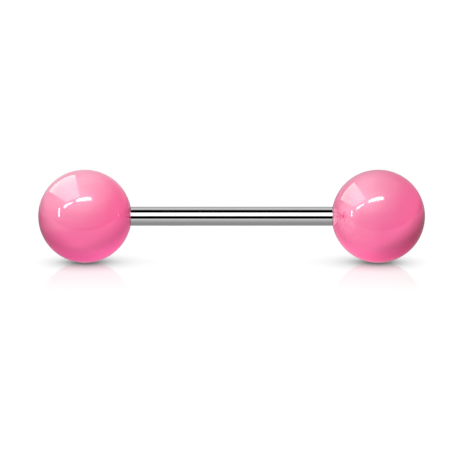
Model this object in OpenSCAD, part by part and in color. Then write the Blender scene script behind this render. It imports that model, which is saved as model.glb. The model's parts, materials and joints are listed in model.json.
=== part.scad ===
// Straight barbell for a tongue piercing: a polished steel post with a ball screwed on each end.
// The post lies along X, +Z is up, and the origin is on the table under the middle of the post.

/* [Post] */
// Thickness of the post between the balls
post_d = 1.63; // [1.2:0.01:2.4]
// Length of the post between the balls
post_l = 17.3; // [12:0.1:26]

/* [Balls] */
// Diameter of each ball
ball_d = 8; // [6:0.5:10]

/* [Thread] */
// Advance of the thread in one turn
pitch = 0.35; // [0.25:0.01:0.4]
// Length of each threaded stub, from the seat to its tip
stub_l = 3.2; // [2:0.1:4]
// Width of the shoulder left round each stub, where the ball seats
shoulder_w = 0.065; // [0.05:0.005:0.15]

/* [Fit] */
// Play between the thread's crests and the wall of the ball's hole
thread_play = 0.02; // [0.01:0.01:0.05]
// Gap between each ball and its shoulder
seat_gap = 0.02; // [0.01:0.01:0.1]

/* [Hidden] */
$fn = 96;

post_r = post_d / 2;
ball_r = ball_d / 2;

// The seat is the flat where the post's own width cuts the ball
seat_to_centre = sqrt(ball_r ^ 2 - post_r ^ 2);

// Thread of 60 degree V form, with the flat crest of an outside thread
flank_angle = 30;
crest_w = pitch / 8;
thread_h = 0.6134 * pitch;
crest_r = post_r - shoulder_w;
root_r = crest_r - thread_h;
steps_per_turn = 16;
fade_turns = 0.5;
fade_least = 0.05;

// Plain neck behind the thread, and the chamfer on the tip of the stub
neck_l = 0.25;
tip_l = 0.15;
tip_cut = 0.12;

// How far a shape is sunk into its neighbour, so that the two are one solid
sink = 0.03;

// Blind hole in the ball, with the cone that the drill leaves
hole_r = crest_r + thread_play;
hole_spare = 0.4;
hole_l = stub_l + hole_spare;
drill_angle = 59;
drill_l = hole_r / tan(drill_angle);

// Height of the ridge at ring i of n, as a share that fades in and out over half a turn
function ridge_share(i, n) =
    let (fade = fade_turns * steps_per_turn) max(fade_least, min(1, i / fade, (n - i) / fade));

// The four corners of the ridge at ring i: its foot, its crest and its foot again
function ridge_ring(i, n) =
    let (turn = 360 * i / steps_per_turn,
         z = pitch * i / steps_per_turn,
         rise = thread_h * ridge_share(i, n),
         foot = crest_w / 2 + (rise + sink) * tan(flank_angle))
    [for (corner = [[-sink, -foot], [rise, -crest_w / 2], [rise, crest_w / 2], [-sink, foot]])
        [(root_r + corner[0]) * cos(turn), (root_r + corner[0]) * sin(turn), z + corner[1]]];

// Right-handed ridge along Z that climbs the given length
module thread_ridge(length) {
    n = floor(steps_per_turn * length / pitch);
    quads = [for (i = [0:n - 1], k = [0:3]) [4 * i + k, 4 * i + (k + 1) % 4]];
    polyhedron(
        points = [for (i = [0:n]) each ridge_ring(i, n)],
        faces = concat(
            [[3, 2, 1, 0], [4 * n, 4 * n + 1, 4 * n + 2, 4 * n + 3]],
            [for (q = quads) [q[0], q[1], q[0] + 4]],
            [for (q = quads) [q[1], q[1] + 4, q[0] + 4]]),
        convexity = 10);
}

// Threaded stub along Z, with the seat at z = 0
module threaded_stub() {
    translate([0, 0, -sink]) cylinder(h = stub_l - tip_l + sink, r = root_r);
    translate([0, 0, stub_l - tip_l]) cylinder(h = tip_l, r1 = root_r, r2 = root_r - tip_cut);
    translate([0, 0, neck_l]) thread_ridge(stub_l - neck_l - tip_l);
}

// Puts a shape that stands on z = 0 at the post's right end, or its left, on the axis of the post
module at_end(left = false, gap = 0) {
    translate([0, 0, ball_r]) rotate([0, 0, left ? 180 : 0])
        translate([post_l / 2 + gap, 0, 0]) rotate([0, 90, 0]) children();
}

module bar() {
    color("silver") union() {
        translate([0, 0, ball_r]) rotate([0, 90, 0]) cylinder(h = post_l, r = post_r, center = true);
        at_end(left = false) threaded_stub();
        at_end(left = true) threaded_stub();
    }
}

// Ball along Z, with the mouth of its hole at z = 0
module ball() {
    color("hotpink") difference() {
        translate([0, 0, seat_to_centre]) sphere(r = ball_r);
        translate([0, 0, -ball_r]) cube(ball_d, center = true);
        translate([0, 0, -ball_r]) cylinder(h = ball_r + hole_l, r = hole_r);
        translate([0, 0, hole_l]) cylinder(h = drill_l, r1 = hole_r, r2 = 0);
    }
}

module left_ball() {
    at_end(left = true, gap = seat_gap) ball();
}

module right_ball() {
    at_end(left = false, gap = seat_gap) ball();
}

bar();
left_ball();
right_ball();
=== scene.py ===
# The looks of a tongue barbell: a polished steel post and two glossy pink acrylic balls.
# Everything is in metres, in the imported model's frame: the post lies along X and z = 0 is the table.
import json
import math

import bpy
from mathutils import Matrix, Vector


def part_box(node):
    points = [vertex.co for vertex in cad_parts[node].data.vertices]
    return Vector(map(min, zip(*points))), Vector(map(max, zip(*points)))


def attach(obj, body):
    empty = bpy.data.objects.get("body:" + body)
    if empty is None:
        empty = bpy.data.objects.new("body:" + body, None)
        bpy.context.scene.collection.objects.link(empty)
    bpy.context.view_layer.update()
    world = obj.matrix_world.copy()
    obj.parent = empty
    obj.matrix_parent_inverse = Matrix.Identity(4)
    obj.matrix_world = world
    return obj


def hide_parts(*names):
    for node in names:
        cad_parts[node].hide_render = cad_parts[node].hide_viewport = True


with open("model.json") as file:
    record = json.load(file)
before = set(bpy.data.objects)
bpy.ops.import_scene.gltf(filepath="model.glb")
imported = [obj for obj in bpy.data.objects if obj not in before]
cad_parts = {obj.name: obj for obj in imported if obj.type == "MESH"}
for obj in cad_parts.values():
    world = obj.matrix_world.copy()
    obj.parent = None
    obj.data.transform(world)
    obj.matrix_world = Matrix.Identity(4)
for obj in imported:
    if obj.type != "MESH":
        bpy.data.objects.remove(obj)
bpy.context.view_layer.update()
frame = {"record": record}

MM = 0.001

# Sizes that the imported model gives
shank = next(mount for mount in frame["record"]["mounts"] if mount["name"] == "shank")
POST_R = shank["dims"]["r_mm"] * MM
POST_HALF = shank["dims"]["length_mm"] * MM / 2
AXIS_Z = shank["pos_m"][2]
BALL_R = AXIS_Z
SEAT_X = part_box("right_ball")[0].x
BALL_X = SEAT_X + math.sqrt(BALL_R ** 2 - POST_R ** 2)
STUB_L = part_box("bar")[1].x - POST_HALF

# Thread on each end of the post, which begins behind a shoulder and a relief neck and ends at a narrow tip
PITCH = 0.35 * MM
FLANK = math.radians(30)
SHOULDER_W = 0.065 * MM
SHOULDER_L = 0.06 * MM
SHOULDER_ROUNDING = 0.02 * MM
NECK_L = 0.22 * MM
THREAD_H = 0.6134 * PITCH
CREST_R = POST_R - SHOULDER_W
CREST_W = PITCH / 8
ROOT_R = CREST_R - THREAD_H
ROOT_W = PITCH / 8 - 0.01 * MM
FLARE_L = THREAD_H * 0.6
TIP_L = 0.12 * MM
TIP_R = ROOT_R - 0.02 * MM

# Tapped hole in each ball, with the cone that the drill leaves
HOLE_R = CREST_R + 0.02 * MM
HOLE_L = STUB_L + 0.4 * MM
DRILL_L = HOLE_R / math.tan(math.radians(59))
TAP_H = 0.06 * MM
TAP_START = 0.06 * MM

# Cutting of the threads: steps to a turn, the angle of the first step, and how far a cutter passes the wall
STEPS_PER_TURN = 40
THREAD_START = math.radians(1.4)
CUTTER_SPARE = 0.03 * MM

# How near to a place a face or edge has to lie to be taken as being there
NEAR = 0.01 * MM

# How finely the round shapes are divided
POST_SIDES = 128
BALL_SEGMENTS = 192
BALL_RINGS = 96
SMOOTH_ANGLE = math.radians(30)

# Camera, as the photograph of 470 by 470 pixels was taken
PHOTO_PX = 470
PX_PER_MM = 11.65
OBJECT_CENTRE_PX = (231.6, 216.25)
CAMERA_RISE = math.radians(10)
LENS_MM = 150
SENSOR_MM = 36

# Brightness of the white behind the object, and of the even light from above and from the table below
BACKDROP_LEVEL = 1.25
DOME_LEVEL = 0.88
TABLE_LEVEL = 1.15

# What the post mirrors at each angle from the front over its top, in degrees. Where a ball mirrors the post
# in its turn, the post is dimmer to the sides, with even light at the left.
POST_WHITE = 1.6
POST_BANDS = [(0, 0), (11, 0), (12.5, 1), (53, 1), (54.5, 0), (92, 0), (94, 0.48), (137, 0.48), (142, 0.28),
              (180, 0.28)]
POST_SIDES_DIM = [(-0.5, 0.1), (-0.3, 0.2), (-0.15, 1), (0.15, 1), (0.5, 0.3), (1, 0.2)]
POST_LEFT_FILL = [(-0.5, 1.8), (-0.3, 0)]

# How far off the tents of light stand that the balls, the right ball, the post and the table mirror
BALL_TENT_R = 60 * MM
RIGHT_BALL_TENT_R = 2
POST_TENT_R = 1
TABLE_TENT_R = 5

# The balls' tent: its brightness by height, in front and behind, a share of it from left to right, and how
# far forward and back the one goes over into the other
TENT_FRONT = [(-0.6, 0), (-0.4, 0.25), (-0.25, 1), (-0.12, 1.2), (0, 1.65), (0.15, 1.9), (0.35, 3),
              (0.55, 4.4), (0.75, 6.5), (0.9, 6.6), (1, 5.8)]
TENT_BACK = [(-0.1, 0), (0, 0.2), (0.2, 0.7), (0.4, 0.8), (0.6, 1.3), (0.8, 2.4), (1, 3.8)]
TENT_SIDES = [(-1, 3), (-0.8, 2.15), (-0.5, 1.7), (-0.2, 1.4), (0.1, 1.1), (0.35, 0.85), (0.55, 0.7),
              (0.7, 0.57), (0.85, 0.38), (1, 0.4)]
TENT_TURN = [(-0.9, 0), (0.55, 1)]

# The right ball's tent: light beside it at the left, and light on the table to its lower left
SIDE_LEFT = [(-1, 1.6), (-0.9, 1.3), (-0.8, 0.3), (-0.7, 0)]
SIDE_HEIGHT = [(-0.3, 1), (0.3, 1), (0.5, 0)]
FOOT_LEFT = [(-1, 0.6), (-0.8, 1.3), (-0.5, 1.2), (-0.2, 0.8), (0.1, 0)]
FOOT_HEIGHT = [(-0.9, 0.5), (-0.7, 1), (-0.35, 1), (-0.05, 0)]
FOOT_DEPTH = [(-0.2, 1), (0.4, 0.1)]

# How bright the table glows when mirrored, at each share of the way from TABLE_FRONT mm before the post to
# TABLE_DEPTH mm further back; it is darker under and behind the post, a painted shade
TABLE_FRONT = 11.5
TABLE_DEPTH = 25
TABLE_MIRRORED = 1.05
TABLE_PAINTED_SHADE = [(0.0, 0), (0.03, 0.8), (0.1, 0.79), (0.16, 0.75), (0.27, 0.59), (0.335, 0.465),
                (0.39, 0.385), (0.43, 0.355), (1, 0.33)]

# Table as the camera sees it: how white its glow is at each share of open sky, a painted shadow, and how
# strongly it mirrors what stands on it, which fades near the foot and over MIRROR_END mm towards the front
TABLE_SIZE = 6
TABLE_WHITE = 1.03
PAINTED_SHADOW_SHARES = [(0, 0.1), (0.07, 0.16), (0.154, 0.33), (0.3, 0.54), (0.44, 0.74), (0.563, 0.86),
                 (0.66, 0.945), (0.756, 1)]
MIRROR_NEAR = [(0, 0), (0.1, 0.1), (0.45, 1)]
MIRROR_END = 14
MIRROR_SHARE = 0.27


# Selecting and editing

def deselect_all():
    bpy.ops.object.select_all(action="DESELECT")


def take(piece):
    deselect_all()
    piece.select_set(True)
    bpy.context.view_layer.objects.active = piece


def clear_selection(piece):
    """Leaves a piece in object mode, with nothing of its mesh selected."""
    if piece.mode != "OBJECT":
        bpy.ops.object.mode_set(mode="OBJECT")
    mesh = piece.data
    for group in (mesh.vertices, mesh.edges, mesh.polygons):
        group.foreach_set("select", [False] * len(group))


def select_faces(piece, chosen):
    """Selects the faces of a piece that pass a test, and leaves the piece in edit mode."""
    clear_selection(piece)
    for face in piece.data.polygons:
        face.select = chosen(face)
    bpy.ops.object.mode_set(mode="EDIT")
    bpy.ops.mesh.select_mode(type="FACE")


def select_edges(piece, chosen):
    """Selects the edges of a piece whose two ends pass a test, and leaves the piece in edit mode."""
    clear_selection(piece)
    for edge in piece.data.edges:
        ends = [piece.data.vertices[i].co for i in edge.vertices]
        edge.select = chosen(*ends)
    bpy.ops.object.mode_set(mode="EDIT")
    bpy.ops.mesh.select_mode(type="EDGE")


def apply_modifier(piece, kind, **settings):
    take(piece)
    modifier = piece.modifiers.new(kind.lower(), kind)
    for setting, value in settings.items():
        setattr(modifier, setting, value)
    bpy.ops.object.modifier_apply(modifier=modifier.name)


def settle(piece, name):
    """Gives a finished piece its name, with its place in its mesh and its object at the origin."""
    take(piece)
    piece.name = name
    piece.data.name = name
    bpy.ops.object.transform_apply(location=True, rotation=True, scale=True)
    bpy.ops.object.shade_smooth_by_angle(angle=SMOOTH_ANGLE)
    return piece


def radius(point):
    """Distance of a point from the post's axis."""
    return math.hypot(point.y, point.z - AXIS_Z)


# Turning and threading

def extrude_step(side, length, growth):
    """Extrudes the selected end face outwards, and widens or narrows its new rim about the axis."""
    bpy.ops.mesh.extrude_region_move(TRANSFORM_OT_translate={"value": (side * length, 0, 0)})
    bpy.ops.transform.resize(value=(1, growth, growth), center_override=(0, 0, AXIS_Z))


def turn_stub(post, side):
    """Turns the stub on one end of the post: its shoulder, relief neck, crest and chamfered tip."""
    select_faces(post, lambda face: face.normal.x * side > 0.9)
    extrude_step(side, SHOULDER_L, 1)
    bpy.ops.mesh.inset(thickness=POST_R - ROOT_R)
    extrude_step(side, NECK_L, 1)
    extrude_step(side, FLARE_L, CREST_R / ROOT_R)
    extrude_step(side, STUB_L - NECK_L - FLARE_L - TIP_L, 1)
    extrude_step(side, TIP_L, TIP_R / CREST_R)
    bpy.ops.object.mode_set(mode="OBJECT")


def thread_cutter(near_x, turns, side, points):
    """A right-handed ridge that cuts a groove outwards from near_x, outlined by (along, radius) points."""
    start_x = near_x if side > 0 else near_x - turns * PITCH
    bpy.ops.mesh.primitive_circle_add(vertices=len(points), radius=MM, location=(0, 0, 0))
    cutter = bpy.context.object
    for vertex, (along, r) in zip(cutter.data.vertices, points):
        vertex.co = (start_x + along, r * math.sin(THREAD_START), r * math.cos(THREAD_START))
    apply_modifier(
        cutter, "SCREW", axis="X", angle=math.tau, screw_offset=PITCH, iterations=turns,
        steps=STEPS_PER_TURN, render_steps=STEPS_PER_TURN, use_merge_vertices=False)
    cutter.location.z = AXIS_Z
    bpy.ops.object.transform_apply(location=True)
    bpy.ops.object.mode_set(mode="EDIT")
    bpy.ops.mesh.select_all(action="SELECT")
    bpy.ops.mesh.fill_holes(sides=0)
    bpy.ops.mesh.normals_make_consistent(inside=False)
    bpy.ops.object.mode_set(mode="OBJECT")
    return cutter


def cut(piece, cutter):
    apply_modifier(piece, "BOOLEAN", object=cutter, operation="DIFFERENCE", solver="EXACT")
    bpy.data.objects.remove(cutter)


def groove_outline():
    """Outline of the groove in the post: a V with a narrow flat root, open past the crest."""
    top = CREST_R + CUTTER_SPARE
    half = ROOT_W / 2 + (top - ROOT_R) * math.tan(FLANK)
    return [(-ROOT_W / 2, ROOT_R), (ROOT_W / 2, ROOT_R), (half, top), (-half, top)]


def tap_outline():
    """Outline of the groove in the ball's hole: a V that reaches outwards from the hole's wall."""
    half = CREST_W / 2 + (TAP_H + CUTTER_SPARE) * math.tan(FLANK)
    foot = HOLE_R - CUTTER_SPARE
    top = HOLE_R + TAP_H
    return [(-half, foot), (half, foot), (CREST_W / 2, top), (-CREST_W / 2, top)]


def on_shoulder(a, b):
    """Whether an edge between two points lies on the post's wall at one of its shoulders."""
    return (min(radius(a), radius(b)) > POST_R - NEAR
            and min(abs(a.x), abs(b.x)) > POST_HALF - NEAR)


def make_post():
    bpy.ops.mesh.primitive_cylinder_add(
        vertices=POST_SIDES, radius=POST_R, depth=2 * (POST_HALF - SHOULDER_L),
        location=(0, 0, AXIS_Z), rotation=(0, math.pi / 2, 0))
    post = bpy.context.object
    bpy.ops.object.transform_apply(location=True, rotation=True)
    for side in (-1, 1):
        turn_stub(post, side)
    select_edges(post, on_shoulder)
    bpy.ops.mesh.bevel(offset=SHOULDER_ROUNDING, segments=3)
    bpy.ops.object.mode_set(mode="OBJECT")
    turns = math.ceil((STUB_L - NECK_L) / PITCH) + 1
    for side in (-1, 1):
        cut(post, thread_cutter(side * (POST_HALF + NECK_L), turns, side, groove_outline()))
    return settle(post, "steel_post")


def make_ball(side, name):
    seat = side * SEAT_X
    bpy.ops.mesh.primitive_uv_sphere_add(
        segments=BALL_SEGMENTS, ring_count=BALL_RINGS, radius=BALL_R,
        location=(side * BALL_X, 0, AXIS_Z), rotation=(0, math.pi / 2, 0))
    ball = bpy.context.object
    bpy.ops.object.transform_apply(location=True, rotation=True)
    bpy.ops.object.mode_set(mode="EDIT")
    bpy.ops.mesh.select_all(action="SELECT")
    bpy.ops.mesh.bisect(
        plane_co=(seat, 0, AXIS_Z), plane_no=(side, 0, 0), use_fill=True, clear_inner=True, threshold=1e-7)
    select_faces(ball, lambda face: face.normal.x * side < -0.999 and abs(face.center.x - seat) < NEAR)
    bpy.ops.mesh.inset(thickness=POST_R - HOLE_R)
    extrude_step(side, HOLE_L, 1)
    bpy.ops.mesh.extrude_region_move(TRANSFORM_OT_translate={"value": (side * DRILL_L, 0, 0)})
    bpy.ops.mesh.merge(type="CENTER")
    bpy.ops.object.mode_set(mode="OBJECT")
    turns = int((STUB_L - TAP_START) / PITCH)
    cut(ball, thread_cutter(seat + side * (TAP_START + PITCH / 2), turns, side, tap_outline()))
    return settle(ball, name)


# Writing shaders as expressions

class Value:
    """An output of a node, on which sums are written as plain expressions."""

    def __init__(self, bench, socket):
        self.bench = bench
        self.socket = socket

    def math(self, operation, *values):
        return self.bench.node("ShaderNodeMath", {"operation": operation}, dict(enumerate(values)))

    def __add__(self, other):
        return self.math("ADD", self, other)

    def __sub__(self, other):
        return self.math("SUBTRACT", self, other)

    def __rsub__(self, other):
        return self.math("SUBTRACT", other, self)

    def __mul__(self, other):
        return self.math("MULTIPLY", self, other)

    def is_above(self, level):
        return self.math("GREATER_THAN", self, level)

    def turn_from(self, other):
        """Angle from this value's axis towards the other's, as a share of half a turn."""
        return self.math("ARCTAN2", other, self) * (1 / math.pi)

    __radd__ = __add__
    __rmul__ = __mul__


class Bench:
    """A node tree under construction."""

    def __init__(self, tree):
        self.tree = tree
        tree.nodes.clear()

    def node(self, kind, settings=None, inputs=None, output=0):
        """Adds a node, with its settings first and then its inputs, and returns one of its outputs."""
        node = self.tree.nodes.new(kind)
        for setting, value in (settings or {}).items():
            if setting == "stops":
                self.set_stops(node.color_ramp, value)
            else:
                setattr(node, setting, value)
        for name, value in (inputs or {}).items():
            if isinstance(value, Value):
                self.tree.links.new(value.socket, node.inputs[name])
            else:
                node.inputs[name].default_value = value
        return Value(self, node.outputs[output]) if node.outputs else node

    @staticmethod
    def set_stops(ramp, stops):
        while len(ramp.elements) < len(stops):
            ramp.elements.new(0.5)
        for element, (position, level) in zip(ramp.elements, stops):
            element.position = position
            element.color = (level, level, level, 1)

    def place(self, scale=(1, 1, 1)):
        """Object coordinates, stretched by a scale on each axis."""
        here = self.node("ShaderNodeTexCoord", output="Object")
        return self.node("ShaderNodeMapping", None, {"Vector": here, "Scale": scale})

    def noise(self, scale, detail, stretch=(1, 1, 1)):
        return self.node("ShaderNodeTexNoise", None, {
            "Vector": self.place(stretch), "Scale": scale, "Detail": detail, "Roughness": 0.5})

    def ramp(self, value, stops):
        """Level of the stops, (position, level) pairs, at a value from 0 to 1."""
        return self.node("ShaderNodeValToRGB", {"stops": stops}, {"Fac": value})

    def curve(self, value, stops):
        """As ramp, but with positions from -1 to 1 and levels of any size."""
        top = max(level for _, level in stops)
        halved = [(position / 2 + 0.5, level / top) for position, level in stops]
        return self.ramp(value * 0.5 + 0.5, halved) * top

    def mix(self, share, low, high):
        return self.node("ShaderNodeMix", {"data_type": "RGBA"}, {0: share, 6: low, 7: high}, output=2)

    def add(self, one, other):
        return self.node("ShaderNodeAddShader", None, {0: one, 1: other})

    def bump(self, height, strength, distance):
        return self.node("ShaderNodeBump", None, {
            "Height": height, "Strength": strength, "Distance": distance})


def new_material(name):
    material = bpy.data.materials.new(name)
    material.use_nodes = True
    return material, Bench(material.node_tree)


def finish_surface(bench, inputs):
    shader = bench.node("ShaderNodeBsdfPrincipled", None, inputs)
    bench.node("ShaderNodeOutputMaterial", None, {"Surface": shader})


def components(bench, vector):
    split = bench.node("ShaderNodeSeparateXYZ", None, {"Vector": vector})
    return [Value(bench, split.socket.node.outputs[axis]) for axis in "XYZ"]


def polished_steel():
    """Surgical steel, drawn to wire and polished, with the last faint polishing lines round it."""
    material, bench = new_material("polished_steel")
    drawn = bench.noise(900, detail=3, stretch=(0.06, 1, 1))
    rings = bench.noise(5200, detail=2, stretch=(1, 0.05, 0.05))
    patches = bench.noise(260, detail=2)
    tint = bench.mix(patches, (0.66, 0.66, 0.67, 1), (0.72, 0.72, 0.73, 1))
    finish_surface(bench, {
        "Base Color": tint,
        "Metallic": 1.0,
        "Roughness": 0.035 + 0.03 * rings + 0.02 * drawn,
        "Normal": bench.bump(drawn + 0.5 * rings, 0.04, 0.004 * MM)})
    return material


def pink_acrylic():
    """Opaque pink acrylic, polished in a barrel, with hair-fine scuffs."""
    material, bench = new_material("pink_acrylic")
    cloud = bench.noise(330, detail=3)
    scuffs = bench.ramp(bench.noise(1500, detail=4, stretch=(1, 0.15, 1)), [(0.55, 0), (0.72, 1)])
    ripple = bench.noise(420, detail=1)
    colour = bench.mix(cloud, (0.86, 0.125, 0.305, 1), (0.88, 0.135, 0.325, 1))
    finish_surface(bench, {
        "Base Color": colour,
        "Roughness": 0.055 + 0.015 * scuffs,
        "IOR": 1.49,
        "Normal": bench.bump(ripple, 0.05, 0.01 * MM)})
    return material


def white_table():
    """White lacquered top that glows, with soft neutral shadows painted into its glow, a painted shade
    under the post where shiny pieces mirror it, and a mirror image that fades towards the front.
    """
    material, bench = new_material("white_table")
    depth = components(bench, bench.node("ShaderNodeTexCoord", output="Object"))[1] * (1 / MM)
    open_sky = bench.node("ShaderNodeAmbientOcclusion", {"samples": 24}, {"Distance": 1.0}, output="AO")
    # Painted shadow: the table's glow is darkened where ambient occlusion finds the pieces close by, under
    # and around them.
    shade = bench.ramp(open_sky, PAINTED_SHADOW_SHARES)
    near = bench.ramp(depth * (1 / MIRROR_END) + 1, [(0, 0), (1, 1)]) * bench.ramp(open_sky, MIRROR_NEAR)
    plain = bench.node("ShaderNodeEmission", None, {"Color": shade, "Strength": TABLE_WHITE})
    lacquer = bench.add(
        bench.node("ShaderNodeEmission", None, {"Color": shade, "Strength": TABLE_WHITE - MIRROR_SHARE}),
        bench.node("ShaderNodeBsdfGlossy", None, {"Color": (MIRROR_SHARE,) * 3 + (1,), "Roughness": 0.08}))
    seen = bench.node("ShaderNodeMixShader", None, {0: near, 1: plain, 2: lacquer})
    # Painted shade: whatever mirrors the table sees it glow darker under and behind the post.
    share = bench.ramp((depth + TABLE_FRONT) * (1 / TABLE_DEPTH), TABLE_PAINTED_SHADE)
    mirrored = bench.add(
        bench.node("ShaderNodeEmission", None, {"Color": share, "Strength": TABLE_MIRRORED}),
        bench.node("ShaderNodeBsdfTransparent"))
    even = bench.node("ShaderNodeEmission", None, {"Strength": TABLE_LEVEL})
    glossy = bench.node("ShaderNodeLightPath", output="Is Glossy Ray")
    camera = bench.node("ShaderNodeLightPath", output="Is Camera Ray")
    light = bench.node("ShaderNodeMixShader", None, {0: glossy, 1: even, 2: mirrored})
    surface = bench.node("ShaderNodeMixShader", None, {0: camera, 1: light, 2: seen})
    bench.node("ShaderNodeOutputMaterial", None, {"Surface": surface})
    material.cycles.emission_sampling = "NONE"
    return material


def glow(name, brightness, tint=(1, 1, 1)):
    """A see-through glowing surface, for reflections alone. Its brightness is a function of its bench."""
    material, bench = new_material(name)
    surface = bench.add(
        bench.node("ShaderNodeEmission", None, {"Color": tint + (1,), "Strength": brightness(bench)}),
        bench.node("ShaderNodeBsdfTransparent"))
    bench.node("ShaderNodeOutputMaterial", None, {"Surface": surface})
    material.cycles.emission_sampling = "NONE"
    return material


# Studio

def camera_vector(right, up, near):
    """Turns a vector seen by the camera, to the right, up and towards it, into one of the frame."""
    c = math.cos(CAMERA_RISE)
    s = math.sin(CAMERA_RISE)
    return Vector((right, up * s - near * c, up * c + near * s))


def make_table():
    bpy.ops.mesh.primitive_grid_add(x_subdivisions=8, y_subdivisions=8, size=TABLE_SIZE, location=(0, 0, 0))
    table = bpy.context.object
    table.name = "table"
    table.data.materials.append(white_table())
    return table


def reflection_only(thing):
    """Keeps a card or tent out of sight, and out of the light on matt surfaces."""
    thing.visible_camera = False
    thing.visible_diffuse = False
    thing.visible_shadow = False


def receivers(name, pieces):
    """A set of pieces that a lamp, card or tent may light alone."""
    group = bpy.data.collections.new(name)
    for piece in pieces:
        group.objects.link(piece)
    return group


def soft_card(name, corners, mirrored_by, level, along, edge, ends=1, tint=(1, 1, 1)):
    """A glowing card between corners in mm: start low, start high, end low, end high.

    along gives its brightness from start to end, edge how softly its sides fade, as a share of its width,
    and ends how wide it is at its ends, as a share of its middle.
    """
    bpy.ops.mesh.primitive_grid_add(x_subdivisions=16, y_subdivisions=16, size=1)
    card = bpy.context.object
    card.name = name
    start_low, start_high, end_low, end_high = (Vector(corner) * MM for corner in corners)
    for vertex in card.data.vertices:
        u = vertex.co.x + 0.5
        v = 0.5 + vertex.co.y * (ends + (1 - ends) * 4 * u * (1 - u))
        vertex.co = start_low.lerp(start_high, v).lerp(end_low.lerp(end_high, v), u)

    def brightness(bench):
        u, v, _ = components(bench, bench.node("ShaderNodeTexCoord", output="UV"))
        across = bench.ramp(v, [(0, 0), (edge, 1), (1 - edge, 1), (1, 0)])
        return bench.ramp(u, along) * across * level

    card.data.materials.append(glow(f"{name}_glow", brightness, tint))
    reflection_only(card)
    card.light_linking.receiver_collection = mirrored_by


def make_cards(balls, right_ball):
    """Three strips and a panel that both balls mirror, and a card that the right ball mirrors alone."""
    strips = {
        "top_strip": (0.75, [(-58, -96, 92), (-56, -78, 111), (46, -110, 126), (45, -82, 154)]),
        "side_strip": (0.7, [(-64, -42, 26), (-64, -31, 38), (-73, -79, 77), (-59, -88, 97)]),
        "left_strip": (0.8, [(-46, -17.9, 5), (-45.5, -22.4, 5.5), (-50, -16.4, 21), (-49.5, -20.9, 21.5)])}
    for name, (ends, corners) in strips.items():
        soft_card(
            name, corners, balls,
            level=22, along=[(0, 0), (0.12, 1), (0.88, 1), (1, 0)], edge=0.3, ends=ends)
    soft_card(
        "near_panel", [(-36, -20, 26), (-20, -33, 53), (-93, 91, 39), (-34, 72, 66)], balls,
        level=3.9, along=[(0, 0.8), (0.02, 1), (0.97, 1), (1, 0)], edge=0.02, tint=(0.6, 1, 0.82))
    soft_card(
        "card_between", [(-5, -5, 0.3), (-5, -5, 8.1), (-5, 3, 0.3), (-5, 3, 8.1)], right_ball,
        level=2.4, along=[(0, 0), (0.25, 1), (0.75, 1), (1, 0)], edge=0.25, ends=0.4)


def soft_side(name, ball, towards, share, tint=(1, 1, 1)):
    """Adds or takes a share of a ball's even light on the side that faces a direction."""
    facing = camera_vector(*towards).normalized()
    bpy.ops.object.light_add(type="SUN", rotation=facing.to_track_quat("Z", "Y").to_euler())
    sun = bpy.context.object
    sun.name = name
    sun.data.energy = share * math.pi
    sun.data.color = tint
    sun.data.angle = math.radians(10)
    sun.data.use_shadow = False
    sun.visible_glossy = False
    sun.light_linking.receiver_collection = receivers(name, [ball])


def make_soft_sides(left_ball, right_ball):
    """Light and shade on the sides of the balls, with each direction as right, up and towards the camera.

    The lights below and at the right are redder, as light is that has gone through acrylic.
    """
    soft_side("left_ball_left_shade", left_ball, (-0.56, -0.62, -0.54), -1.5, (0.6, 1, 0.7))
    soft_side("left_ball_right_shade", left_ball, (0.47, -0.72, -0.51), -1.15, (0.9, 0.95, 0.75))
    soft_side("left_ball_foot_light", left_ball, (0.12, -0.7, -0.7), 2.0, (1, 0.6, 0.9))
    soft_side("left_ball_through_light", left_ball, (1, 0.1, -0.1), 0.21, (1, 0.1, 0.4))
    soft_side("right_ball_right_shade", right_ball, (0.54, -0.68, -0.5), -2.1, (0.92, 1, 0.95))
    soft_side("right_ball_foot_light", right_ball, (0.14, -0.71, -0.69), 2.1, (1, 0.45, 0.8))
    soft_side("right_ball_through_light", right_ball, (1, 0.1, -0.1), 0.18, (1, 0.1, 0.4))
    for ball in (left_ball, right_ball):
        soft_side("light_behind", ball, (0, -0.35, -0.94), 1.0, (0, 1, 0.2))


def tent_level(bench, x, y, z):
    """Brightness of the tent that the balls mirror: brightest overhead, dim behind and to the right."""
    front = bench.curve(z, TENT_FRONT)
    back = bench.curve(z, TENT_BACK)
    return (front + (back - front) * bench.curve(y, TENT_TURN)) * bench.curve(x, TENT_SIDES)


def side_level(bench, x, y, z):
    """Brightness of the light that the right ball alone mirrors at its left and lower left."""
    beside = bench.curve(x, SIDE_LEFT) * bench.curve(z, SIDE_HEIGHT)
    return beside + bench.curve(x, FOOT_LEFT) * bench.curve(z, FOOT_HEIGHT) * bench.curve(y, FOOT_DEPTH)


def post_level(bench, x, y, z):
    """Brightness that the post mirrors: white in front, black below and above it."""
    stops = [(degrees / 180, level) for degrees, level in POST_BANDS]
    bands = bench.ramp((y * -1).turn_from(z), stops) * POST_WHITE
    bounces = bench.node("ShaderNodeLightPath", output="Ray Depth")
    in_ball = bounces.is_above(1.5)
    dimmed = bands * bench.curve(x, POST_SIDES_DIM) + bench.curve(x, POST_LEFT_FILL)
    return bands + (dimmed - bands) * in_ball


def make_tent(name, far, pieces, level):
    """A see-through shell of light round the studio that only some pieces mirror.

    level gives its brightness from a place on it, as x, y and z from -1 to 1.
    """
    def brightness(bench):
        place = bench.node("ShaderNodeTexCoord", output="Object")
        middle = (0, 0, AXIS_Z)
        lowered = bench.node("ShaderNodeVectorMath", {"operation": "SUBTRACT"}, {0: place, 1: middle})
        unit = bench.node("ShaderNodeVectorMath", {"operation": "NORMALIZE"}, {0: lowered})
        return level(bench, *components(bench, unit))

    bpy.ops.mesh.primitive_uv_sphere_add(segments=96, ring_count=48, radius=far, location=(0, 0, AXIS_Z))
    tent = bpy.context.object
    tent.name = name
    bpy.ops.object.transform_apply(location=True)
    tent.data.materials.append(glow(f"{name}_glow", brightness))
    reflection_only(tent)
    tent.light_linking.receiver_collection = receivers(name, pieces)


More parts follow.
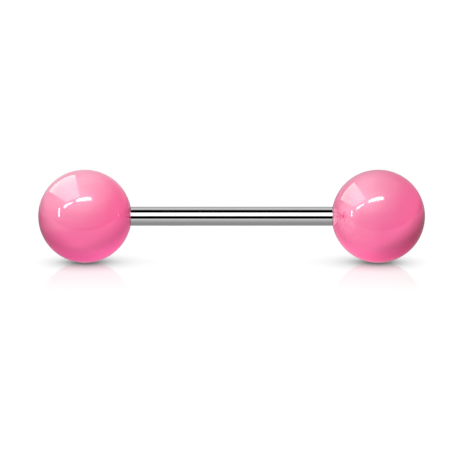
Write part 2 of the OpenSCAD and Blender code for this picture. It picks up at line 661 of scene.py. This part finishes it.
def make_world():
    """A white dome for matt light and for the background. What shines mirrors the tents instead."""
    world = bpy.data.worlds.new("studio")
    world.use_nodes = True
    bpy.context.scene.world = world
    bench = Bench(world.node_tree)
    glossy = bench.node("ShaderNodeLightPath", output="Is Glossy Ray")
    camera = bench.node("ShaderNodeLightPath", output="Is Camera Ray")
    strength = (1 - glossy) * DOME_LEVEL + camera * (BACKDROP_LEVEL - DOME_LEVEL)
    light = bench.node("ShaderNodeBackground", None, {"Color": (1, 1, 1, 1), "Strength": strength})
    bench.node("ShaderNodeOutputWorld", None, {"Surface": light})


def make_camera():
    width = PHOTO_PX / PX_PER_MM * MM
    distance = width * LENS_MM / SENSOR_MM
    off_right = (PHOTO_PX / 2 - OBJECT_CENTRE_PX[0]) / PX_PER_MM * MM
    off_down = (PHOTO_PX / 2 - OBJECT_CENTRE_PX[1]) / PX_PER_MM * MM
    place = Vector((0, 0, AXIS_Z)) + camera_vector(off_right, -off_down, distance)
    bpy.ops.object.camera_add(location=place, rotation=(math.pi / 2 - CAMERA_RISE, 0, 0))
    camera = bpy.context.object
    camera.data.lens = LENS_MM
    camera.data.sensor_width = SENSOR_MM
    camera.data.clip_start = 0.001
    camera.data.clip_end = 20
    bpy.context.scene.camera = camera


# Building it all

deselect_all()
steel = polished_steel()
acrylic = pink_acrylic()

post = make_post()
post.data.materials.append(steel)
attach(post, "bar")
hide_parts("bar")

balls = []
for side, name in ((-1, "left"), (1, "right")):
    ball = make_ball(side, f"{name}_acrylic_ball")
    ball.data.materials.append(acrylic)
    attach(ball, f"{name}_ball")
    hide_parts(f"{name}_ball")
    balls.append(ball)

table = make_table()
make_world()
make_tent("ball_tent", BALL_TENT_R, balls, tent_level)
make_tent("right_ball_tent", RIGHT_BALL_TENT_R, balls[1:], side_level)
make_tent("post_tent", POST_TENT_R, [post], post_level)
make_tent("table_tent", TABLE_TENT_R, [table], lambda bench, x, y, z: 1)
make_cards(receivers("ball_pair", balls), receivers("right_ball_alone", balls[1:]))
make_soft_sides(*balls)
make_camera()
bpy.context.scene.view_settings.view_transform = "Standard"
